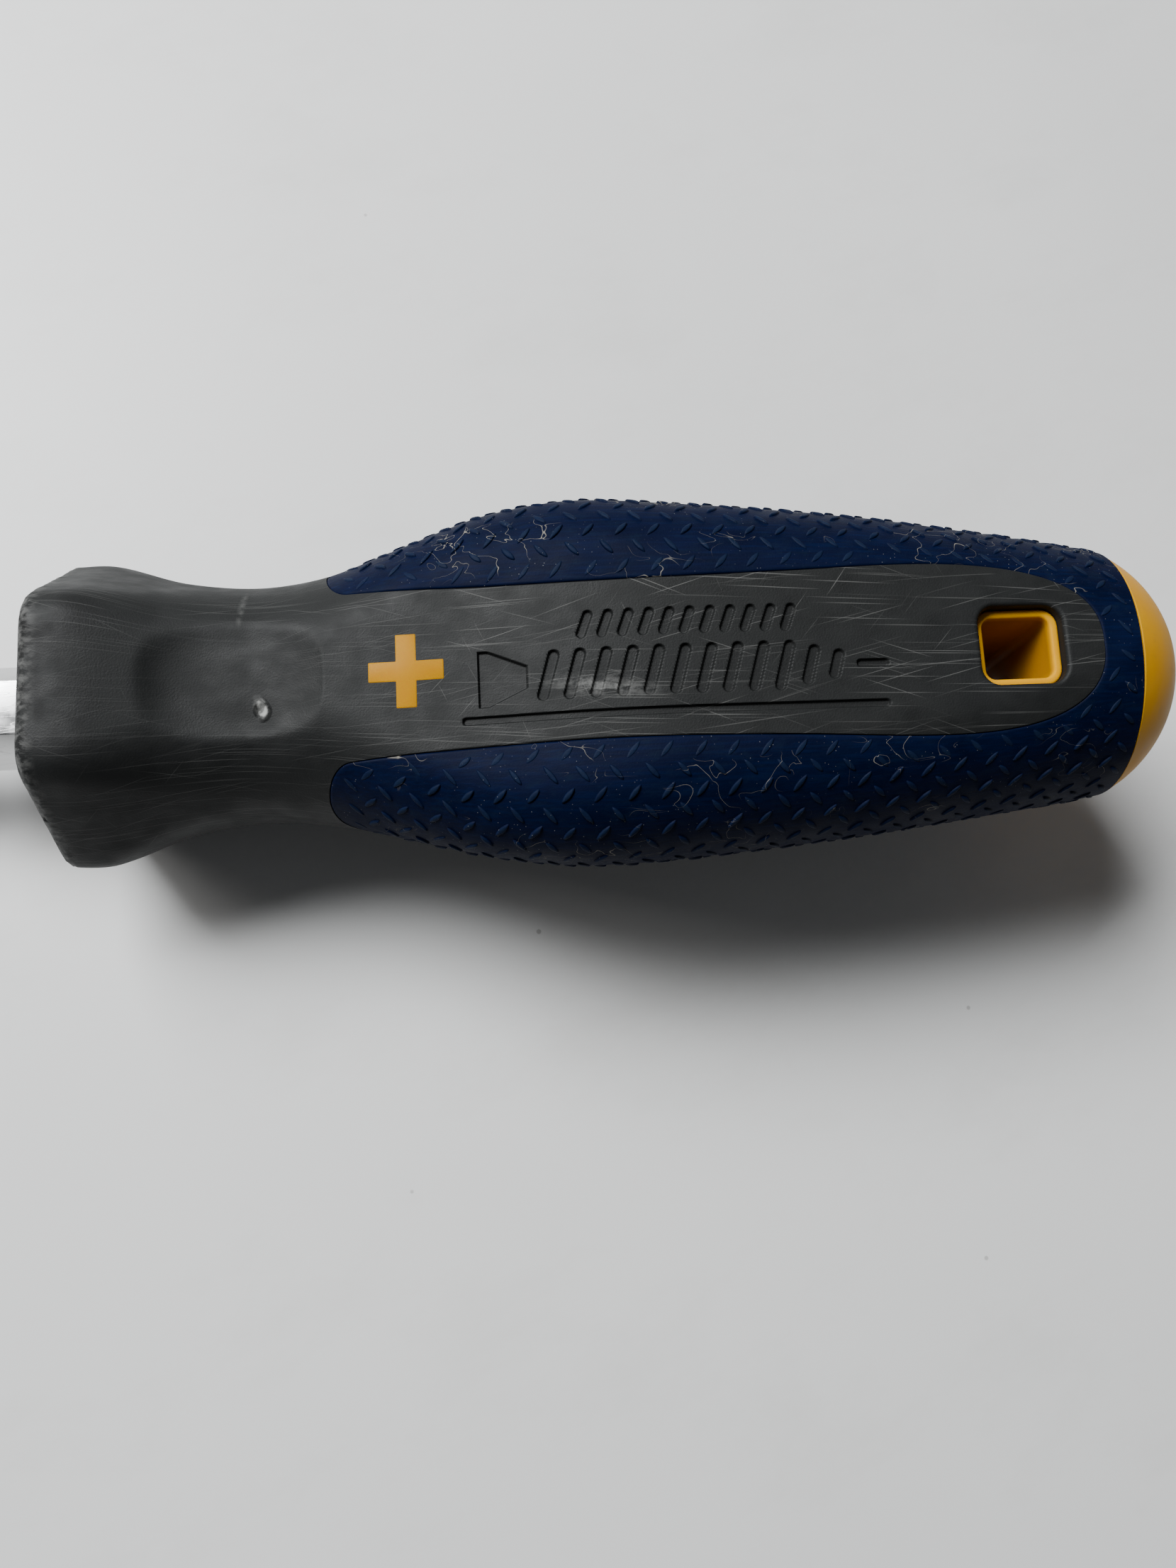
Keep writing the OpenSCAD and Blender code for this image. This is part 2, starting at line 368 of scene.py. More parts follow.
def revolved(name, outline, sides=96):
    """A closed solid of revolution about X. The outline runs from axis to axis: x, radius."""
    sheets = Sheets()
    angles = np.linspace(0, 2 * math.pi, sides, endpoint=False)
    outline = np.asarray(outline, float)
    x = np.broadcast_to(outline[:, :1], (len(outline), sides))
    y = outline[:, 1:] * np.cos(angles)
    z = outline[:, 1:] * np.sin(angles)
    sheets.ring_grid(np.stack([x, y, z], -1))
    return sheets.build(name)


def prism(name, rings, wear_and_painted_light=0.0):
    """A closed solid between two rings of corner points."""
    sheets = Sheets()
    for ring in rings:
        sheets.add(ring, [range(len(ring))], wear_and_painted_light)
    sheets.ring_grid(np.stack(rings), wear_and_painted_light)
    return sheets.build(name)


def rounded_rectangle(length, width, corner, steps=6):
    """Corner points of a rounded rectangle about the origin."""
    points = []
    for quarter in range(4):
        sign_x = 1 if quarter in (0, 3) else -1
        sign_y = 1 if quarter in (0, 1) else -1
        for step in range(steps + 1):
            angle = math.radians(90 * (quarter + step / steps))
            x = sign_x * (length / 2 - corner) + corner * math.cos(angle)
            y = sign_y * (width / 2 - corner) + corner * math.sin(angle)
            points.append((x, y))
    return np.array(points)


def hole_ring(inset, height):
    """The outline of the lanyard opening, drawn in by inset, as points at one height."""
    length, width = HOLE_SIZE
    outline = rounded_rectangle(length - 2 * inset, width - 2 * inset, HOLE_CORNER - inset)
    outline = outline + [collar_front + HOLE_AT, 0]
    return np.column_stack([outline, np.full(len(outline), height)])


def opening(inset, bottom, top):
    """A closed upright prism that cuts the lanyard opening."""
    rings = [hole_ring(inset, bottom), hole_ring(inset, top)]
    sheets = Sheets()
    for ring, height in zip(rings, (bottom, top)):
        centre = np.broadcast_to([collar_front + HOLE_AT, 0, height], ring.shape)
        sheets.ring_grid(np.stack([centre, ring]))
    sheets.ring_grid(np.stack(rings))
    return sheets.build("opening")


def hole_distance(station, side):
    """Signed distance to the outline of the lanyard opening, negative inside it."""
    x = np.abs(station - HOLE_AT) - (HOLE_SIZE[0] / 2 - HOLE_CORNER)
    y = np.abs(side) - (HOLE_SIZE[1] / 2 - HOLE_CORNER)
    outside = np.hypot(np.maximum(x, 0), np.maximum(y, 0))
    return outside + np.minimum(np.maximum(x, y), 0) - HOLE_CORNER


def rounded_drop(distance, radius):
    """How far a rounded edge of this radius drops at a distance from it."""
    inside = np.clip(radius - distance, 0, radius)
    return radius - np.sqrt(radius ** 2 - inside ** 2)


def waves(points, scale, seed=0.0):
    """Smooth noise from -1 to 1 at points in millimetres."""
    offset = Vector((seed, 2.3 * seed, -1.7 * seed))
    return np.array([noise.noise(Vector(point) * scale + offset) for point in points.reshape(-1, 3)])


# ---------- dishes, engraved marks and wear ----------

def mark_strokes():
    """Engraved strokes, each a start, an end and a half-width: a screw, slanted bars and a groove."""
    strokes = []
    turns = 12
    for i in range(turns):
        x = 49.6 + 2.5 * i
        reach = min(1.9, 1.9 - 0.5 * (i - turns + 3))
        start = (x - 0.3 * reach, MARK_AXIS - reach)
        end = (x + 0.3 * reach, MARK_AXIS + reach)
        strokes.append((start, end, 0.5))
    strokes.append(((79.4, MARK_AXIS), (81.8, MARK_AXIS), 0.35))
    for i in range(11):
        x = 53.2 + 1.95 * i
        strokes.append(((x - 0.35, 2.5), (x + 0.35, 4.3), 0.42))
    strokes.append(((41.7, -5.3), (81.6, -5.3), 0.34))
    return strokes


def head_distance(station, side):
    """Signed distance to the countersunk head of the engraved screw."""
    head_at, head_len, head_r, rim_len = 43, 4.6, 2.7, 0.9
    slope = math.radians(24)
    x = station - head_at
    y = np.abs(side - MARK_AXIS)
    taper = (y - head_r) * math.cos(slope) + (x - rim_len) * math.sin(slope)
    return np.maximum(np.maximum(-x, x - head_len), np.maximum(y - head_r, taper))


def mark_distance(station, side):
    """Signed distance to the nearest edge of the engraved marks, negative inside one."""
    nearest = head_distance(station, side)
    for (start_x, start_y), (end_x, end_y), half_width in mark_strokes():
        run_x = end_x - start_x
        run_y = end_y - start_y
        share = (station - start_x) * run_x + (side - start_y) * run_y
        share = np.clip(share / (run_x * run_x + run_y * run_y), 0, 1)
        distance = np.hypot(station - start_x - share * run_x, side - start_y - share * run_y)
        nearest = np.minimum(nearest, distance - half_width)
    return nearest


def mark_share(station, side):
    """How deep the engraved marks are, from 0 outside them to 1 at their floor."""
    return np.clip(0.5 - mark_distance(station, side) / MARK_EDGE, 0, 1)


def dish_sink(station, side):
    """Depth of the thumb dish, which has a soft rim and squarish corners."""
    x = np.abs(station - DISH_AT) / (DISH_SIZE[0] / 2)
    y = np.abs(side) / (DISH_SIZE[1] / 2)
    from_middle = (x ** DISH_POWER + y ** DISH_POWER) ** (1 / DISH_POWER)
    bowl = np.clip((DISH_RIM - from_middle) / DISH_RIM, 0, 1)
    return DISH_DEPTH * (1 - (1 - bowl) ** 4)


def nick(station, side):
    """Height and wear of a torn spot of plastic: a pit with a raised flap beside it."""
    x = (station - NICK_AT[0]) / 0.75
    y = (side - NICK_AT[1]) / 1.2
    r = np.hypot(x + 0.3 * y, y * (1 + 0.3 * x))
    flap = np.clip(1 - np.abs(r - 0.8) / 0.4, 0, 1) * np.clip(0.6 + x, 0, 1)
    pit = np.clip(1 - np.hypot(x + 0.45, y + 0.1) / 0.7, 0, 1)
    return 0.22 * flap - 0.4 * pit, np.clip(1.7 - 1.3 * r, 0, 1)


def scuff(station, side):
    """Wear of a scraped patch over the marks."""
    x = station - SCUFF_AT[0]
    y = side - SCUFF_AT[1] + 0.12 * x
    return np.clip(1.3 - np.hypot(x / 5.5, y / 1.1), 0, 1)


# ---------- grip ----------

def grip_columns(station):
    """Distances across from each border to the middle of the lobe, closer together at the border."""
    border = border_across(station)
    width = half_around(station) - border
    lip = np.array([0, 0.05, 0.12, 0.21, 0.33, 0.5])
    near = lip * np.minimum(1, width / 1.6)[:, None]
    far = near[:, -1:] + (width[:, None] - near[:, -1:]) * np.linspace(0, 1, 16)[1:]
    return border[:, None] + np.concatenate([near, far], axis=1)


def border_line():
    """Points along both borders of one lobe, which lies between sectors 0 and 1."""
    tongue = eased(tip_station, GRIP_START + FLARE_LEN, 160, 2)
    stations = np.concatenate([tongue, side_rows, blunt_stations(400)])
    across = border_across(stations)
    first = surface(stations, across, 0, 0)
    second = surface(stations, -across, 0, 1)
    return np.concatenate([first, second])


def nearest_distance(points, line):
    """Distance from each point to the nearest point of a line."""
    flat = points.reshape(-1, 3)
    found = np.empty(len(flat))
    block_size = 2000
    for start in range(0, len(flat), block_size):
        block = slice(start, start + block_size)
        gaps = flat[block, None] - line
        found[block] = np.sqrt((gaps ** 2).sum(-1).min(1))
    return found.reshape(points.shape[:-1])


def grip_height(distance, station):
    """The grip's rounded lip at its borders and at its rear end."""
    lip = rounded_drop(distance, LIP_R) - GRIP_PROUD * np.clip(distance / 2, 0, 1)
    return -lip - rounded_drop(HANDLE_LEN - station, TAIL_R)


def row_spacing(station):
    """Distance between the tread's rows across a lobe."""
    room = half_around(station) - border_across(np.minimum(station, BLUNT_FROM)) - ROW_MARGIN
    return np.maximum(room / ROWS_A_SIDE, ROW_LEAST)


def bar_faces():
    """Faces of one bar: the walls between its rings of points, and its two ends."""
    index = np.arange(len(BAR_RINGS) * BAR_SIDES).reshape(-1, BAR_SIDES).tolist()
    faces = []
    for low, high in zip(index[:-1], index[1:]):
        for i in range(BAR_SIDES):
            j = (i + 1) % BAR_SIDES
            faces.append([low[i], low[j], high[j], high[i]])
    for ring in (index[0], index[-1]):
        for i in range(BAR_SIDES // 2 - 1):
            faces.append([ring[i], ring[i + 1], ring[-2 - i], ring[-1 - i]])
    return faces


def bar_points(station, from_middle, slant, half_len, height):
    """Points of one bar, ring by ring upwards, and at each its share of the bar's height, which lightens
    the bar's top as dust and painted highlight.
    """
    around = np.linspace(0, 2 * math.pi, BAR_SIDES, endpoint=False)
    lens_x = np.cos(around)
    lens_y = np.sin(around) * (1 - 0.25 * np.abs(np.cos(around)))
    squeeze = np.minimum(1, row_spacing(station) / ROW_FULL)
    points = []
    wear_and_painted_light = []
    for length_share, width_share, rise in BAR_RINGS:
        x = half_len * length_share * lens_x
        y = BAR_HALF_WID * width_share * lens_y
        along = x * math.cos(BAR_ANGLE) - y * math.sin(BAR_ANGLE)
        sideward = x * math.sin(BAR_ANGLE) + y * math.cos(BAR_ANGLE)
        points.append(lobe_points(station + along, from_middle + slant * sideward * squeeze, rise * height))
        wear_and_painted_light.append(np.full(BAR_SIDES, max(rise, 0)))
    return np.concatenate(points), np.concatenate(wear_and_painted_light)


def tread_bars(line):
    """Slanted bars in staggered rows over one lobe and the ring behind it, each its points and the values
    that lighten its top as dust and painted highlight.
    """
    random = Random(11)
    bars = []
    for row in range(-10, 11):
        is_odd = row % 2
        for column in range(-1, 26):
            station = 30.4 + BAR_PITCH * (column + 0.5 * is_odd) + random.uniform(-0.12, 0.12)
            if not tip_station + 0.8 < station < HANDLE_LEN - 0.9:
                continue
            station = np.array([station])
            from_middle = row * row_spacing(station)
            room = half_around(station) - np.abs(from_middle)
            if room < 0 or (station < PANEL_END and room < border_across(station)):
                continue
            clear = nearest_distance(lobe_points(station, from_middle, 0.0), line)[0]
            if clear < 1.05:
                continue
            height = BAR_HEIGHT * random.uniform(0.75, 1.1) * np.clip((clear - 0.8) / 2.5, 0.45, 1)
            half_len = BAR_HALF_LEN * random.uniform(0.9, 1.05)
            bars.append(bar_points(station, from_middle, 1 if is_odd else -1, half_len, height))
    return bars


def build_tread(line):
    """The bars of all three lobes, apart from those at the lanyard opening."""
    tread = Sheets()
    bars = tread_bars(line)
    faces = bar_faces()
    for sector in range(SECTORS):
        for points, wear_and_painted_light in bars:
            points = turned(points, sector)
            middle = points.mean(0)
            if hole_distance(middle[0] - collar_front, middle[1]) > 1.6:
                tread.add(points, faces, wear_and_painted_light)
    return tread.build("grip_tread", weld=0.0001)


def lobe_points(station, from_middle, height):
    """Points given by their distance from the middle of the lobe between sectors 0 and 1."""
    half = half_around(station)
    first = surface(station, half - np.abs(from_middle), height, 0)
    second = surface(station, np.abs(from_middle) - half, height, 1)
    return np.where((from_middle <= 0)[:, None], first, second)


def turned(points, sector):
    """Points turned about X by a third of a turn for each sector."""
    turn = math.radians(360 / SECTORS * sector)
    y = points[..., 1] * math.cos(turn) + points[..., 2] * math.sin(turn)
    z = points[..., 2] * math.cos(turn) - points[..., 1] * math.sin(turn)
    return np.stack([points[..., 0], y, z], -1)


def build_grip():
    line = border_line()
    rows = np.concatenate([border_rows[:-1], ring_rows])
    columns = grip_columns(rows)
    half = half_around(rows)[:, None]
    from_middle = np.concatenate([columns - half, (half - columns)[:, ::-1][:, 1:]], axis=1)
    station = np.broadcast_to(rows[:, None], from_middle.shape)

    def skin(height):
        height = np.broadcast_to(height, station.shape).reshape(-1)
        points = lobe_points(station.reshape(-1), from_middle.reshape(-1), height)
        return points.reshape(*station.shape, 3)

    base = skin(0.0)
    distance = nearest_distance(base, line)
    from_edge = np.clip(np.minimum(distance, half - np.abs(from_middle)), 0, 1)
    uneven = 0.03 * waves(base, 0.35).reshape(station.shape) * from_edge
    height = grip_height(distance, station) + uneven
    height[-1] = -TAIL_R
    outer = skin(height)
    inner = skin(-GRIP_T)
    bordered = len(border_rows)
    sheets = Sheets()
    for sector in range(SECTORS):
        sheets.grid(turned(outer, sector))
        sheets.grid(turned(inner, sector))
        sheets.grid(turned(np.stack([outer[-1], inner[-1]]), sector))
        for side in (0, -1):
            wall = np.stack([outer[:bordered, side], inner[:bordered, side]])
            sheets.grid(turned(wall, sector))
    grip = sheets.build("grip_skin")
    smooth(grip, 50)
    tread = build_tread(line)
    smooth(tread, 60)
    cut(grip, opening(0, -40, 0))
    return join([grip, tread], "grip_visual")


# ---------- shell ----------

def refined_panel(rows, columns):
    """Stations, distances across and faces of a panel mesh that is finer near its marks."""
    bm = bmesh.new()
    grid = [[bm.verts.new((station, share, 0)) for share in columns] for station in rows]
    for low, high in zip(grid[:-1], grid[1:]):
        for i in range(len(columns) - 1):
            bm.faces.new((low[i], high[i], high[i + 1], low[i + 1]))
    for margin in (0.9, 0.45, 0.24):
        centres = np.array([face.calc_center_median() for face in bm.faces])
        station = centres[:, 0]
        side = sideways(station, centres[:, 1] * panel_reach(station))
        near = np.abs(mark_distance(station, side)) < margin
        near |= np.abs(hole_distance(station, side)) < margin * 1.3
        near |= np.hypot(station - NICK_AT[0], side - NICK_AT[1]) < 1.9 + margin
        edges = {edge for face, hit in zip(bm.faces, near) if hit for edge in face.edges}
        bmesh.ops.subdivide_edges(bm, edges=list(edges), cuts=1, use_grid_fill=True)
    bm.verts.index_update()
    spots = np.round([vert.co for vert in bm.verts], 5)
    faces = [[vert.index for vert in face.verts] for face in bm.faces]
    bm.free()
    return spots[:, 0], spots[:, 1] * panel_reach(spots[:, 0]), faces


def shell_height(station, across, sector):
    """Dishes, rounded border, engraved marks and torn spot, as a height and a wear value."""
    side = sideways(station, across)
    to_border = np.where(station > tip_station, border_across(station) - np.abs(across), 99)
    height = -dish_sink(station, side) - rounded_drop(np.maximum(to_border, 0), 0.12)
    wear_and_painted_light = 0.7 * np.clip((2.4 - station) / 1.6, 0, 1)
    if sector == 0:
        marks = mark_share(station, side)
        rise, torn = nick(station, side)
        height = height - MARK_DEPTH * marks * marks * (3 - 2 * marks) + rise
        height = height - rounded_drop(np.maximum(hole_distance(station, side), 0), 0.45)
        wear_and_painted_light = np.maximum(np.maximum(wear_and_painted_light, torn), 0.78 * scuff(station, side))
    return height, wear_and_painted_light


def chipped_edge(points, station):
    """Height of the chips and waves at the front edge of the collar."""
    height = np.clip((2.2 - station) / 1.4, 0, 1) * np.clip(station / 0.5, 0, 1)
    near = station < 2.2
    chips = np.abs(waves(points[near], 0.9, 3)) * waves(points[near], 4.0, 5)
    height[near] *= 0.1 * waves(points[near], 1.3) + 0.45 * chips
    return height


def build_shell():
    edge_rows = COLLAR_EDGE * (1 - np.cos(np.radians(np.linspace(0, 90, 10))))
    neck_rows = np.linspace(COLLAR_EDGE, tip_station, 48)[1:-1]
    rows = np.concatenate([edge_rows, neck_rows, border_rows[:-1], [PANEL_END]])
    columns = np.concatenate([np.linspace(0, 0.965, 22), [0.98, 0.99, 1.0]])
    columns = np.concatenate([-columns[:0:-1], columns])
    sheets = Sheets()
    for sector in range(SECTORS):
        if sector == 0:
            station, across, faces = refined_panel(rows, columns)
        else:
            station = np.repeat(rows, len(columns))
            across = np.tile(columns, len(rows)) * panel_reach(station)
            faces = grid_faces(len(rows), len(columns))
        height, wear_and_painted_light = shell_height(station, across, sector)
        height = height + chipped_edge(surface(station, across, 0.0, sector), station)
        sheets.add(surface(station, across, height, sector), faces, wear_and_painted_light)
        add_under_grip(sheets, sector)
    add_shell_inside(sheets, columns)
    shell = sheets.build("shell_visual", weld=0.003)
    close_rear(shell)
    mark_shading(shell)
    cut(shell, opening(0, -40, 40))
    smooth(shell, 50)
    return shell


def add_under_grip(sheets, sector):
    """The floor that the grip covers, and the walls down to it from the panel's border."""
    rows = np.concatenate([border_rows, [105.5, HANDLE_LEN]])
    edge = np.where(rows < PANEL_END, border_across(rows), 0)
    covered = half_around(rows) - edge
    bordered = rows <= PANEL_END
    for side in (-1, 1):
        across = side * (edge[:, None] + covered[:, None] * np.linspace(0, 1, 8))
        station = np.broadcast_to(rows[:, None], across.shape)
        floor = surface(station, across, -GRIP_T - GAP, sector)
        sheets.grid(floor)
        top_across = side * panel_reach(rows[bordered])
        top_height, _ = shell_height(rows[bordered], top_across, sector)
        top = surface(rows[bordered], top_across, top_height, sector)
        sheets.grid(np.stack([top, floor[bordered, 0]]))


def add_shell_inside(sheets, columns):
    """The front face and the stepped bore of the shell, full circle, as far as its rear end."""
    at_front = np.zeros(len(columns))
    across = columns * half_around(at_front)
    front = np.concatenate([surface(at_front, across, 0.0, sector) for sector in range(SECTORS)])
    turn = np.arctan2(front[:, 1], front[:, 2])
    spigot_bore = SPIGOT_R + GAP
    tang_bore = TANG_R + GAP
    core_bore = CORE_R + GAP
    core_from = CORE_START - GAP
    steps = [
        (0, SPIGOT_R + 3.2), (0, SPIGOT_R + 0.35), (0.1, SPIGOT_R + 0.1), (0.3, spigot_bore),
        (SPIGOT_LEN, spigot_bore), (SPIGOT_LEN, tang_bore), (core_from, tang_bore),
        (core_from, core_bore), (HANDLE_LEN, core_bore),
    ]
    rings = [front]
    for station, radius in steps:
        x = np.full(len(turn), collar_front + station)
        rings.append(np.stack([x, radius * np.sin(turn), radius * np.cos(turn)], -1))
    sheets.grid(np.stack(rings))


def mark_shading(shell):
    """Stores what the grey material reads at each vertex.

    "dish" is how deep it lies in a dish or mark, which the grey darkens as painted shade, "smudge" how
    dirty and "handled" how scratched it is, all from 0 to 1. "spread" is its place on the unrolled surface.
    """
    points = np.array([vert.co for vert in shell.data.vertices]) / MM
    station = points[:, 0] - collar_front
    outside_r = 9
    unrolled_r = 12
    depth = np.zeros(len(points))
    for sector in range(SECTORS):
        _, side, out = turned(points, -sector).T
        depth = np.maximum(depth, np.where(out > outside_r, dish_sink(station, side) / DISH_DEPTH, 0))
    marks = np.where(points[:, 2] > outside_r, mark_share(station, points[:, 1]), 0)
    depth = np.maximum(depth, 0.8 * marks)
    smudge = np.clip((8.5 - station) / 3, 0, 1) * np.clip((9 - np.abs(points[:, 1] - 1)) / 3, 0, 1)
    handled = np.clip((station - 18) / 16, 0.5, 1) * np.clip(station - 0.2, 0, 1)
    around = unrolled_r * np.arctan2(points[:, 1], points[:, 2])
    store(shell.data, "dish", depth)
    store(shell.data, "smudge", smudge * (points[:, 2] > 0))
    store(shell.data, "handled", handled * (1 - 0.9 * np.clip(depth, 0, 1)))
    store(shell.data, "spread", np.stack([station, around, 0 * station], -1) * MM)


def close_rear(shell):
    """Joins the two open loops at the rear with a flat ring."""
    bm = bmesh.new()
    bm.from_mesh(shell.data)
    rear = (collar_front + HANDLE_LEN - 0.01) * MM
    edges = [edge for edge in bm.edges if edge.is_boundary and edge.verts[0].co.x > rear]
    bmesh.ops.bridge_loops(bm, edges=edges)
    bmesh.ops.recalc_face_normals(bm, faces=bm.faces)
    bm.to_mesh(shell.data)
    bm.free()


# ---------- materials ----------

class Paint:
    """A material and short ways to add nodes to it."""

    def __init__(self, name):
        self.material = bpy.data.materials.new(name)
        self.material.use_nodes = True
        self.tree = self.material.node_tree
        self.shader = self.tree.nodes["Principled BSDF"]
        self.place = self.tree.nodes.new("ShaderNodeTexCoord").outputs["Object"]

    def link(self, source, target):
        self.tree.links.new(source, target)

    def set(self, **values):
        for name, value in values.items():
            self.shader.inputs[name.replace("_", " ")].default_value = value

    def node(self, kind, **settings):
        node = self.tree.nodes.new(kind)
        for name, value in settings.items():
            setattr(node, name, value)
        return node

    def stretched(self, scale, turn=0.0, place=None):
        """Coordinates turned about Z, then scaled to features per millimetre."""
        mapping = self.node("ShaderNodeMapping", vector_type="TEXTURE")
        mapping.inputs["Rotation"].default_value = (0, 0, math.radians(turn))
        mapping.inputs["Scale"].default_value = [MM / density for density in scale]
        self.link(place or self.place, mapping.inputs["Vector"])
        return mapping.outputs["Vector"]

    def noise(self, scale, turn=0.0, detail=3.0, roughness=0.5, distortion=0.0):
        texture = self.node("ShaderNodeTexNoise")
        texture.inputs["Scale"].default_value = 1.0
        texture.inputs["Detail"].default_value = detail
        texture.inputs["Roughness"].default_value = roughness
        texture.inputs["Distortion"].default_value = distortion
        self.link(self.stretched(scale, turn), texture.inputs["Vector"])
        return texture.outputs["Fac"]

    def cells(self, scale):
        """Distance to the nearest of many scattered points."""
        texture = self.node("ShaderNodeTexVoronoi")
        texture.inputs["Scale"].default_value = 1.0
        self.link(self.stretched(scale), texture.inputs["Vector"])
        return texture.outputs["Distance"]

    def ramp(self, source, *stops):
        """Grey levels: pairs of position and level."""
        ramp = self.node("ShaderNodeValToRGB")
        elements = ramp.color_ramp.elements
        while len(elements) < len(stops):
            elements.new(0.5)
        for element, (position, level) in zip(elements, stops):
            element.position = position
            element.color = (level, level, level, 1)
        self.link(source, ramp.inputs["Fac"])
        return ramp.outputs["Color"]

    def scratches(self, length, width, turn, rarity):
        """Straight scratches, sized in millimetres, over the coordinates stored in "spread"."""
        spread = self.attribute("spread", "Vector")
        texture = self.node("ShaderNodeTexVoronoi", voronoi_dimensions="2D")
        texture.inputs["Scale"].default_value = 1.0
        self.link(self.stretched((1 / length, 1 / width, 1), turn, spread), texture.inputs["Vector"])
        streaks = self.ramp(texture.outputs["Distance"], (0.1, 1), (0.45, 0))
        chosen = self.ramp(texture.outputs["Color"], (rarity, 0), (rarity + 0.04, 1))
        return self.times(streaks, chosen)

    def lines(self, scale, turn, width):
        """Thin lines where stretched noise crosses its middle value."""
        source = self.noise(scale, turn, 0.0)
        return self.ramp(source, (0.5 - width, 0), (0.5, 1), (0.5 + width, 0))

    def times(self, a, b):
        return self.math("MULTIPLY", a, b)

    def math(self, operation, a, b, clamp=False):
        node = self.node("ShaderNodeMath", operation=operation, use_clamp=clamp)
        for value, target in ((a, node.inputs[0]), (b, node.inputs[1])):
            if isinstance(value, (int, float)):
                target.default_value = value
            else:
                self.link(value, target)
        return node.outputs[0]

    def blend(self, factor, first, second):
        """A colour between two, each a tuple or a socket."""
        mix = self.node("ShaderNodeMix", data_type="RGBA")
        self.link(factor, mix.inputs[0])
        for value, target in ((first, mix.inputs[6]), (second, mix.inputs[7])):
            if isinstance(value, tuple):
                target.default_value = (*value, 1)
            else:
                self.link(value, target)
        return mix.outputs[2]

    def attribute(self, name, output="Fac"):
        return self.node("ShaderNodeAttribute", attribute_name=name).outputs[output]

    def bumps(self, source, strength, distance, after=None):
        """A bumped normal, on top of another one when it is given. Distance is in millimetres."""
        bump = self.node("ShaderNodeBump")
        bump.inputs["Strength"].default_value = strength
        bump.inputs["Distance"].default_value = distance * MM
        self.link(source, bump.inputs["Height"])
        if after:
            self.link(after, bump.inputs["Normal"])
        return bump.outputs["Normal"]

    def feed(self, **sources):
        for name, source in sources.items():
            self.link(source, self.shader.inputs[name.replace("_", " ")])


def grey_plastic():
    """Dark hard plastic with a fine grain, scratched by use and torn in places, with painted shade in its
    dishes and engraved marks.
    """
    paint = Paint("grey_plastic")
    paint.set(IOR=1.45, Specular_IOR_Level=0.2)
    scratches = paint.scratches(12, 0.1, -2, 0.74)
    for length, width, turn, rarity in (
        (18, 0.11, 4, 0.85), (9, 0.1, 12, 0.84), (8, 0.1, -17, 0.86),
        (4, 0.11, 44, 0.92), (3, 0.1, -62, 0.93),
    ):
        layer = paint.scratches(length, width, turn, rarity)
        scratches = paint.math("ADD", scratches, layer, True)
    patches = paint.ramp(paint.noise((0.06, 0.12, 0.12), 0, 4), (0.38, 0.3), (0.6, 1))
    scratches = paint.times(paint.times(scratches, patches), paint.attribute("handled"))

    flecks = paint.ramp(paint.noise((0.9, 1.6, 1.6), 0, 6, 0.6), (0.42, 0), (0.62, 1))
    rubbed = paint.times(paint.ramp(paint.attribute("wear_and_painted_light"), (0.1, 0), (0.7, 0.7)), flecks)
    tatters = paint.ramp(paint.noise((1.6, 1.1, 1.1), 0, 3), (0.4, 0.3), (0.55, 1))
    torn = paint.times(paint.ramp(paint.attribute("wear_and_painted_light"), (0.72, 0), (1, 1)), tatters)
    # Painted shade: darker the deeper the surface lies in a dish or engraved mark
    dish = paint.ramp(paint.attribute("dish"), (0.2, 0), (0.9, 0.45))
    stains = paint.ramp(paint.noise((0.3, 0.3, 0.3), 0, 6), (0.38, 0), (0.55, 1))
    smudge = paint.times(paint.attribute("smudge"), stains)

    mottle = paint.noise((0.35, 0.5, 0.5), 0, 5)
    colour = paint.blend(mottle, (0.0065, 0.007, 0.0071), (0.0125, 0.0132, 0.0132))
    colour = paint.blend(dish, colour, (0.005, 0.0053, 0.0055))
    colour = paint.blend(paint.times(smudge, 0.75), colour, (0.003, 0.003, 0.0032))
    colour = paint.blend(paint.times(scratches, 0.65), colour, (0.12, 0.12, 0.116))
    colour = paint.blend(rubbed, colour, (0.1, 0.1, 0.097))
    colour = paint.blend(torn, colour, (0.28, 0.28, 0.27))
    paint.feed(Base_Color=colour)
    paint.feed(Roughness=paint.ramp(mottle, (0.3, 0.5), (0.7, 0.65)))
    grain = paint.bumps(paint.noise((5.5, 5.5, 5.5), 0, 3), 0.5, 0.05)
    paint.feed(Normal=paint.bumps(scratches, 0.4, 0.03, grain))
    return paint.material


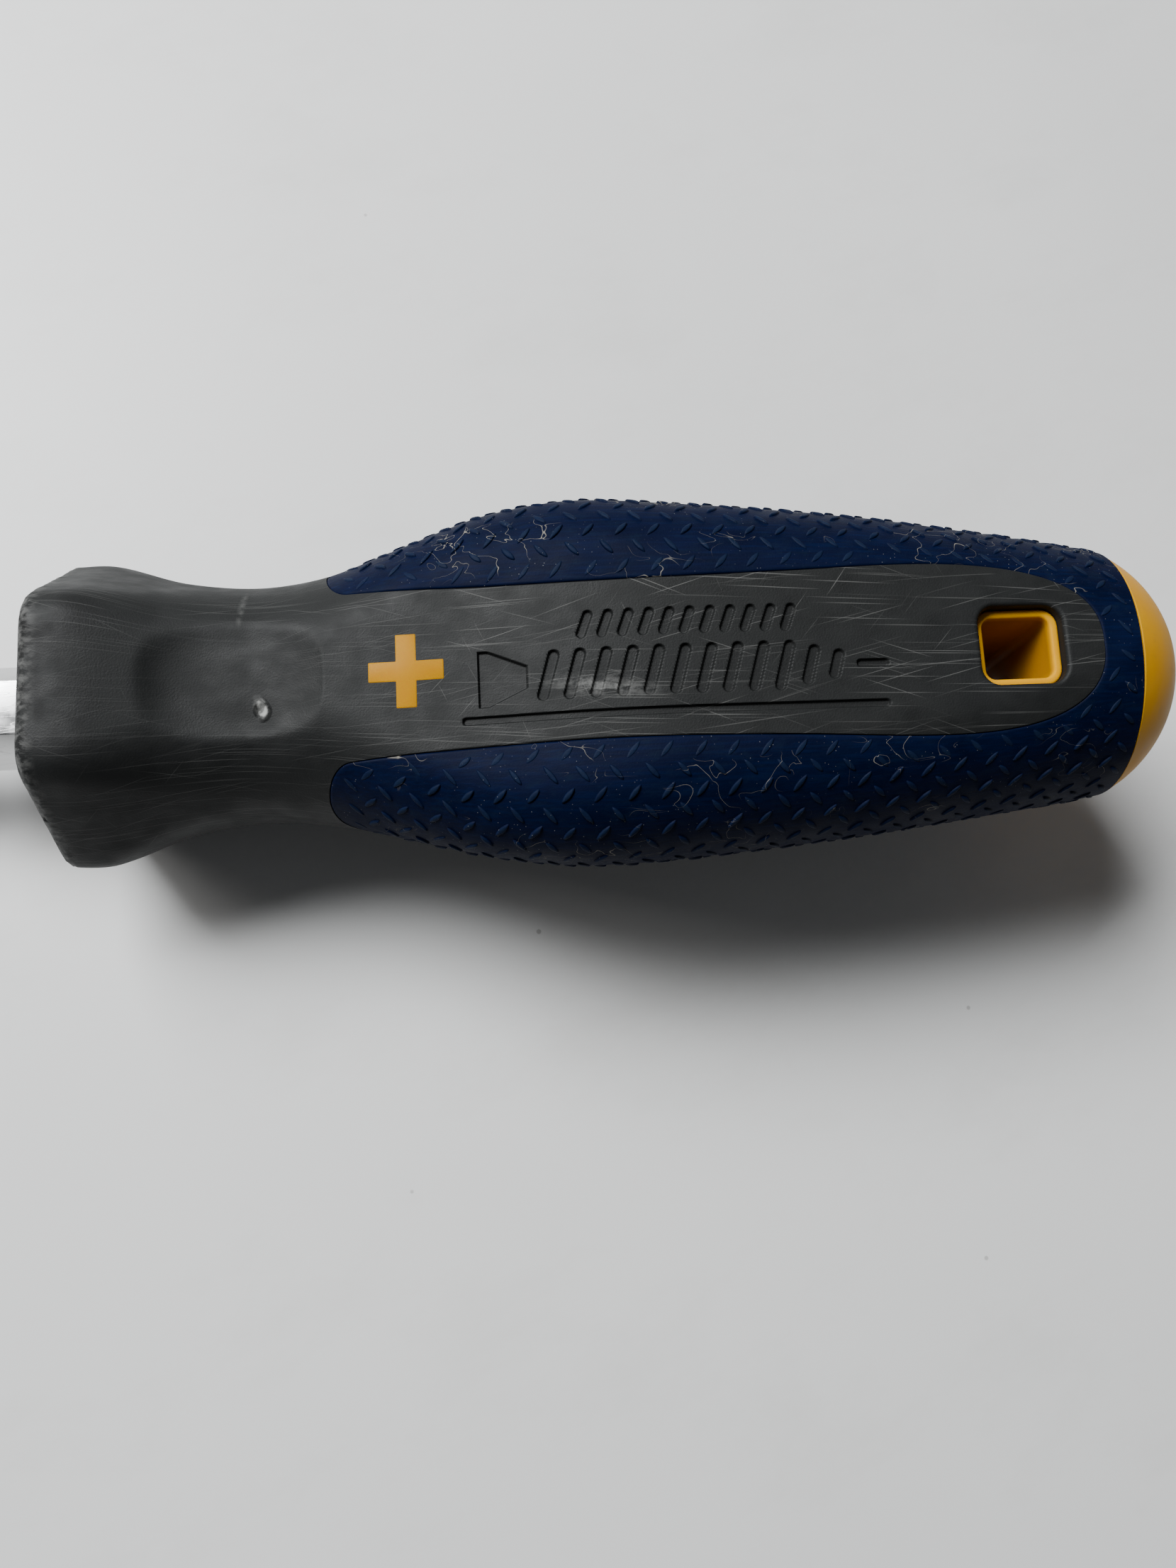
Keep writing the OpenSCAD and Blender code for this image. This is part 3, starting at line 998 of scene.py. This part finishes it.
def blue_rubber():
    """Navy rubber with lengthwise streaks, bar tops lightened by dust and a painted highlight, specks of
    dust and curled fibres.
    """
    paint = Paint("blue_rubber")
    paint.set(IOR=1.45, Specular_IOR_Level=0.06)
    streaks = paint.noise((0.12, 3.2, 3.2), 0, 3)
    mottle = paint.noise((0.2, 0.3, 0.3), 0, 5)
    # Bar tops lighter: partly dust, partly a painted highlight
    bar_tops = paint.ramp(paint.attribute("wear_and_painted_light"), (0.4, 0), (1, 0.75))
    bar_tops = paint.times(bar_tops, paint.noise((0.8, 0.8, 0.8), 0, 4))
    haze = paint.ramp(paint.noise((0.5, 0.9, 0.9), 0, 8, 0.75), (0.5, 0), (0.72, 0.6))
    specks = paint.ramp(paint.cells((1.9, 1.9, 1.9)), (0.05, 1), (0.1, 0))
    patches = paint.ramp(paint.noise((0.11, 0.15, 0.15), 0, 3), (0.4, 0.1), (0.62, 1))
    hairs = paint.noise((0.24, 0.34, 0.34), 0, 1.5, 0.5, 0.9)
    hairs = paint.ramp(hairs, (0.4973, 0), (0.5, 1), (0.5027, 0))
    lint = paint.ramp(paint.noise((0.1, 0.2, 0.2), 0, 2), (0.5, 0), (0.6, 1))

    colour = paint.blend(mottle, (0.0007, 0.0018, 0.0095), (0.0013, 0.0038, 0.021))
    colour = paint.blend(paint.ramp(streaks, (0.45, 0), (0.75, 0.45)), colour, (0.0016, 0.0065, 0.036))
    colour = paint.blend(bar_tops, colour, (0.009, 0.018, 0.04))
    colour = paint.blend(haze, colour, (0.003, 0.0085, 0.022))
    colour = paint.blend(paint.times(paint.times(specks, patches), 0.5), colour, (0.25, 0.26, 0.26))
    colour = paint.blend(paint.times(paint.times(hairs, lint), 0.7), colour, (0.3, 0.28, 0.23))
    paint.feed(Base_Color=colour)
    paint.feed(Roughness=paint.ramp(mottle, (0.3, 0.5), (0.7, 0.65)))
    grain = paint.bumps(paint.noise((5, 5, 5), 0, 3), 0.35, 0.04)
    paint.feed(Normal=paint.bumps(streaks, 0.35, 0.04, grain))
    return paint.material


def amber_plastic():
    """Slightly translucent amber plastic, darker where it lies deep in the lanyard hole as painted shade,
    and darker over the plus.
    """
    paint = Paint("amber_plastic")
    paint.set(IOR=1.45, Specular_IOR_Level=0.08)
    paint.set(Subsurface_Weight=0.2, Subsurface_Radius=(1.0, 0.45, 0.1), Subsurface_Scale=0.003)
    mottle = paint.noise((0.25, 0.25, 0.25), 0, 4)
    base = paint.blend(mottle, (0.5, 0.22, 0.0004), (0.6, 0.29, 0.0008))
    # Painted shade on the deep walls of the lanyard hole, and a darker tint over the plus
    base = paint.blend(paint.attribute("wear_and_painted_light"), base, (0.2, 0.08, 0.0002))
    marks = paint.lines((0.25, 0.7, 0.7), 50, 0.006)
    grime = paint.ramp(paint.noise((0.6, 0.6, 0.6), 0, 6), (0.6, 0), (0.8, 0.5))
    stained = paint.blend(paint.times(marks, 0.2), base, (0.45, 0.27, 0.02))
    stained = paint.blend(paint.times(grime, 0.4), stained, (0.22, 0.12, 0.04))
    paint.feed(Base_Color=stained)
    paint.feed(Roughness=paint.ramp(mottle, (0.3, 0.36), (0.7, 0.5)))
    paint.feed(Normal=paint.bumps(paint.noise((3, 3, 3), 0, 4), 0.12, 0.02))
    return paint.material


def steel(name, dark, light, scratch_scale):
    """Plated steel with small pits and lengthwise scratches."""
    paint = Paint(name)
    paint.set(Metallic=1.0)
    mottle = paint.noise((0.6, 0.6, 0.6), 0, 5)
    pits = paint.ramp(paint.cells((3.5, 3.5, 3.5)), (0.05, 1), (0.13, 0))
    lines = paint.lines(scratch_scale, 3, 0.02)
    base = paint.blend(mottle, dark, light)
    paint.feed(Base_Color=paint.blend(paint.times(pits, 0.2), base, (0.16, 0.15, 0.14)))
    rough = paint.ramp(mottle, (0.3, 0.24), (0.7, 0.4))
    paint.feed(Roughness=paint.math("ADD", paint.times(lines, 0.2), rough))
    uneven = paint.bumps(paint.noise((2.5, 2.5, 2.5), 0, 3), 0.1, 0.02)
    paint.feed(Normal=paint.bumps(lines, 0.2, 0.01, uneven))
    return paint.material


def desk_paint():
    """Pale desk top with faint smudges and a few specks."""
    paint = Paint("desk")
    mottle = paint.noise((0.01, 0.01, 0.01), 0, 6)
    smudges = paint.ramp(paint.noise((0.03, 0.05, 0.05), 20, 8, 0.7), (0.5, 0), (0.7, 0.6))
    base = paint.blend(mottle, (0.64, 0.64, 0.635), (0.74, 0.74, 0.735))
    base = paint.blend(paint.times(smudges, 0.3), base, (0.46, 0.45, 0.43))
    specks = paint.ramp(paint.cells((0.09, 0.09, 0.09)), (0.02, 1), (0.03, 0))
    base = paint.blend(paint.times(specks, 0.5), base, (0.2, 0.19, 0.18))
    paint.feed(Base_Color=base)
    paint.feed(Roughness=paint.ramp(mottle, (0.3, 0.4), (0.7, 0.55)))
    return paint.material


# ---------- core, bolster and blade ----------

def build_core():
    """The core's body with its domed cap, the hole's liner and the plus."""
    ball_r = (CAP_R ** 2 + CAP_DOME ** 2) / (2 * CAP_DOME)
    half_angle = math.degrees(math.asin(CAP_R / ball_r))
    start = collar_front + CORE_START
    joint = collar_front + HANDLE_LEN + GAP
    end = collar_front + HANDLE_LEN + CAP_DOME
    edge = 0.05
    chamfer = 0.3
    outline = [(start, 0), (start, CORE_R - chamfer), (start + chamfer, CORE_R)]
    outline += [(joint, CORE_R), (joint, CAP_R - edge)]
    for angle in np.radians([30, 60, 90]):
        outline.append((joint + edge * (1 - math.cos(angle)), CAP_R - edge + edge * math.sin(angle)))
    for angle in np.radians(np.linspace(half_angle - 3, 0, 40)):
        outline.append((end - ball_r * (1 - math.cos(angle)), ball_r * math.sin(angle)))
    body = revolved("core_body", outline, 128)
    cut(body, opening(0.3, -40, 40))
    pieces = [body, build_liner(), build_plus()]
    for piece in pieces:
        smooth(piece, 40)
    return join(pieces, "core_visual")


def build_liner():
    """The tube around the lanyard hole, with rounded rims."""
    flat, lobe, _ = profile(np.array(HOLE_AT))
    top = float(flat) - LINER_RECESS
    bottom = LINER_RECESS - float(lobe)
    clear = 0.02
    rim = 0.28
    deep = 1.2
    end = []
    for angle in np.radians([0, 30, 60, 90]):
        end.append((clear + rim * (1 - math.cos(angle)), rim * (1 - math.sin(angle))))
    for angle in np.radians([0, 30, 60, 90]):
        end.append((LINER_T - rim * (1 - math.sin(angle)), rim * (1 - math.cos(angle))))
    end.append((LINER_T, deep))
    rings = [hole_ring(inset, top - depth) for inset, depth in end]
    rings += [hole_ring(inset, bottom + depth) for inset, depth in end[::-1]]
    rings.append(rings[0])
    # The deep inner walls get 0.6, which darkens their amber as painted shade
    wear_and_painted_light = [0.6 if depth == deep else 0.0 for _, depth in end + end[::-1] + end[:1]]
    sheets = Sheets()
    sheets.ring_grid(np.stack(rings), np.array(wear_and_painted_light)[:, None])
    return sheets.build("liner")


def build_plus():
    """The raised plus-shaped inlay with soft corners."""
    half = PLUS_SIZE / 2
    arm = PLUS_ARM / 2
    corners = [
        (half, arm), (arm, arm), (arm, half), (-arm, half), (-arm, arm), (-half, arm),
        (-half, -arm), (-arm, -arm), (-arm, -half), (arm, -half), (arm, -arm), (half, -arm),
    ]
    top = float(profile(np.array(PLUS_AT))[0])
    rings = [
        [(collar_front + PLUS_AT + x, y, height) for x, y in corners]
        for height in (top - 1.5, top + 0.05)
    ]
    plus = prism("plus", rings, 0.5)
    bevel(plus, 0.16, 3, 30)
    for vertex in plus.data.vertices:
        flat, _, _ = profile(np.array(vertex.co.x / MM - collar_front))
        vertex.co.z += (float(flat) - top) * MM
    return plus


def build_bolster():
    """A hexagonal sleeve with turned front corners, a round spigot behind it and a bore."""
    length = collar_front
    rear = length + SPIGOT_LEN
    corner_r = BOLSTER_FLATS / 2 / math.cos(math.radians(30))
    angles = np.radians(np.arange(0, 360, 60))
    hexagon = np.stack([np.cos(angles), np.sin(angles)], -1) * corner_r
    rings = [np.column_stack([np.full(6, x), hexagon]) for x in (0, length)]
    bolster = prism("bolster_visual", rings)
    bevel(bolster, 0.15, 2, 40)
    bevel_len = 1.1
    front = [
        (-0.001, 0), (-0.001, corner_r - 0.75), (bevel_len * 0.35, corner_r - 0.35),
        (bevel_len, corner_r + 0.02), (bevel_len + 1, corner_r + 0.5), (length + 0.5, corner_r + 0.5),
        (length + 0.5, 0),
    ]
    spigot = [(length - 0.5, 0), (length - 0.5, SPIGOT_R), (rear, SPIGOT_R), (rear, 0)]
    bore_r = TANG_R + 0.01
    bore = [(-1, 0), (-1, bore_r), (rear + 1, bore_r), (rear + 1, 0)]
    cut(bolster, revolved("front", front), "INTERSECT")
    cut(bolster, revolved("spigot", spigot), "UNION")
    cut(bolster, revolved("bore", bore))
    smooth(bolster, 30)
    return bolster


def build_blade():
    """Round shank with a cross-point tip and a tang inside the handle."""
    blunt = 0.4
    cone_end = tip_x + blunt + (SHANK_R - TIP_R) / math.tan(TIP_CONE)
    outline = [(tip_x, 0), (tip_x, TIP_R - blunt), (tip_x + blunt, TIP_R)]
    outline += [(cone_end, SHANK_R), (cone_end + 0.8, SHANK_R)]
    outline += [(x, SHANK_R) for x in np.linspace(tip_x + 10, -0.25, 24)]
    outline += [(0, SHANK_R - 0.02), (0.02, TANG_R)]
    outline += [(TANG_LEN - 2, TANG_R), (TANG_LEN, TANG_R - 1), (TANG_LEN, 0)]
    blade = revolved("blade_visual", outline)
    for turn in (45, 135, 225, 315):
        place = Matrix.Rotation(math.radians(turn), 4, "X")
        place = place @ Matrix.Translation(Vector((tip_x, 0, FLUTE_ROOT)) * MM)
        place = place @ Matrix.Rotation(FLUTE_ANGLE, 4, "Y")
        place = place @ Matrix.Rotation(math.radians(45), 4, "X")
        cut(blade, flute_bar(place))
    smooth(blade, 30)
    return blade


def flute_bar(place):
    """A square bar along X, from 1 mm before the place it is given, whose lowest edge cuts a flute."""
    length, width = 34, 12
    square = [(0, 0), (width, 0), (width, width), (0, width)]
    bar = prism("flute", [[(x, y, z) for y, z in square] for x in (-1, length)])
    bar.data.transform(place)
    return bar


# ---------- put the scene together ----------

def finish_piece(piece, node, material):
    piece.data.materials.clear()
    piece.data.materials.append(material)
    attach(piece, "root")
    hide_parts(node)


def add_light(name, at, towards, size, energy, colour):
    data = bpy.data.lights.new(name, "AREA")
    data.shape = "RECTANGLE"
    data.size, data.size_y = size
    data.energy = energy
    data.color = colour
    light = bpy.data.objects.new(name, data)
    light.location = at
    light.rotation_euler = (Vector(towards) - Vector(at)).to_track_quat("-Z", "Y").to_euler()
    bpy.context.scene.collection.objects.link(light)


blade_steel = steel("steel_blade", (0.42, 0.42, 0.43), (0.62, 0.62, 0.63), (0.05, 3, 3))
bolster_steel = steel("bolster_steel", (0.5, 0.5, 0.5), (0.72, 0.72, 0.72), (0.3, 2, 2))
finish_piece(build_blade(), "blade", blade_steel)
finish_piece(build_bolster(), "hex_bolster", bolster_steel)
finish_piece(build_core(), "core", amber_plastic())
finish_piece(build_shell(), "shell", grey_plastic())
finish_piece(build_grip(), "grip", blue_rubber())

# The desk touches the bottom of the collar and the lowest lobe
desk_slope = math.atan(0.1115)
desk_at = Vector((12, 0, -14.35)) * MM
bpy.ops.mesh.primitive_plane_add(size=3)
desk = bpy.context.object
desk.name = "desk"
desk.data.materials.append(desk_paint())
desk.matrix_world = Matrix.Translation(desk_at) @ Matrix.Rotation(desk_slope, 4, "Y")

# The camera looks down on the front panel, and is turned a little
camera_data = bpy.data.cameras.new("camera")
camera_data.sensor_width = 36
camera_data.lens = 28.24
camera_data.clip_start = 0.005
camera = bpy.data.objects.new("camera", camera_data)
right = Vector((0.99814, -0.05014, 0.03477)).normalized()
up = Vector((0.04333, 0.98369, 0.17458)).normalized()
camera_turn = Matrix((right, up, right.cross(up))).transposed().to_4x4()
camera.matrix_world = Matrix.Translation((0.0599, -0.03167, 0.12629)) @ camera_turn
bpy.context.scene.collection.objects.link(camera)
bpy.context.scene.camera = camera

world = bpy.data.worlds.new("world")
world.use_nodes = True
background = world.node_tree.nodes["Background"]
background.inputs["Color"].default_value = (0.95, 0.97, 1.0, 1)
background.inputs["Strength"].default_value = 0.09
bpy.context.scene.world = world

handle_middle = (0.06, 0, 0)
add_light("window", (-0.23, 0.38, 0.64), handle_middle, (0.46, 0.34), 14.5, (0.97, 0.99, 1.0))
add_light("lamp", (-0.3, 0.16, 0.34), handle_middle, (0.22, 0.22), 0.8, (1.0, 0.98, 0.95))
